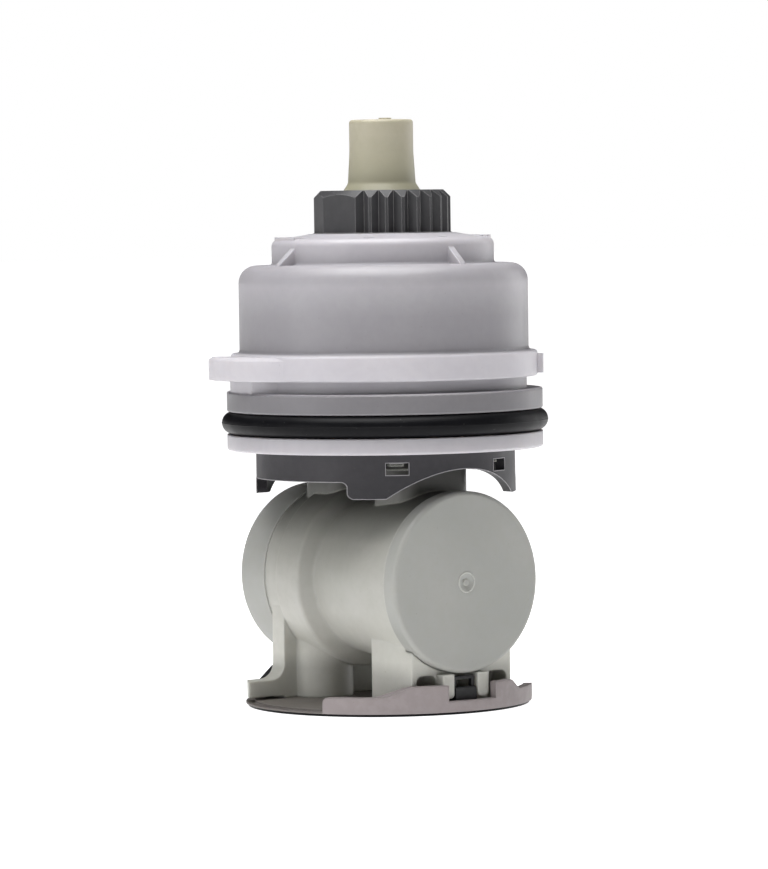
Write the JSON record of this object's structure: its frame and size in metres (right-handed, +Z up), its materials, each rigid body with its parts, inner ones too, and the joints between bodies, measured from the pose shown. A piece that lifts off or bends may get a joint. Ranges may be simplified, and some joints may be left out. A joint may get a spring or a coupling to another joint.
{
  "type": "shower valve cartridge",
  "caption": "Two-handle pressure-balancing shower valve cartridge: round stem and toothed sleeve over a white bonnet, with a cross barrel and a round base below.",
  "frame": {"origin": "centre of the base's underside, on the stem axis", "axes": "+Z up along the stem axis; the balance barrel lies along Y with its near cap at -Y"},
  "size_m": [0.0518, 0.0512, 0.0917],
  "materials": {
    "ivory_stem": "satin",
    "dark_gear": "matte",
    "bonnet_white": "satin, slightly translucent",
    "barrel_ivory": "satin",
    "collar_dark": "matte",
    "base_grey": "matte",
    "latch_black": "matte",
    "rubber_black": "satin",
    "ceramic_white": "lapped",
    "ceramic_grey": "lapped",
    "liner_steel": "fine turned",
    "washer_white": "smooth"
  },
  "bodies": {
    "cartridge_body": {"thrust_washer": "washer_white", "bonnet": "bonnet_white", "body_o_ring": "rubber_black", "fixed_disc": "ceramic_grey", "port_gasket": "rubber_black", "plug_o_ring": "rubber_black", "lower_collar": "collar_dark", "neck_gasket": "rubber_black", "balance_housing": "barrel_ivory", "near_end_cap": "barrel_ivory", "far_end_cap": "barrel_ivory", "cap_o_rings": "rubber_black", "balance_liner": "liner_steel", "liner_o_rings": "rubber_black", "inlet_seals": "rubber_black", "base_plate": "base_grey", "base_seal": "rubber_black", "front_latch": "latch_black", "rear_latch": "latch_black"},
    "stem_body": {"flow_stem": "ivory_stem", "stem_o_rings": "rubber_black", "flow_disc": "ceramic_white"},
    "sleeve_body": {"temperature_sleeve": "dark_gear", "sleeve_o_ring": "rubber_black", "temperature_disc": "ceramic_white"},
    "spool_body": {"balance_spool": "liner_steel"}
  },
  "joints": [
    {"name": "flow_turn", "type": "hinge", "parent": "cartridge_body", "child": "stem_body", "pos_m": [0, 0, 0.0804], "axis": [0, 0, 1], "range_deg": [0, 90]},
    {"name": "temperature_turn", "type": "hinge", "parent": "cartridge_body", "child": "sleeve_body", "pos_m": [0, 0, 0.0804], "axis": [0, 0, 1], "range_deg": [-55, 55]},
    {"name": "spool_slide", "type": "slide", "parent": "cartridge_body", "child": "spool_body", "axis": [0, 1, 0], "range_m": [-0.002, 0.002]}
  ]
}
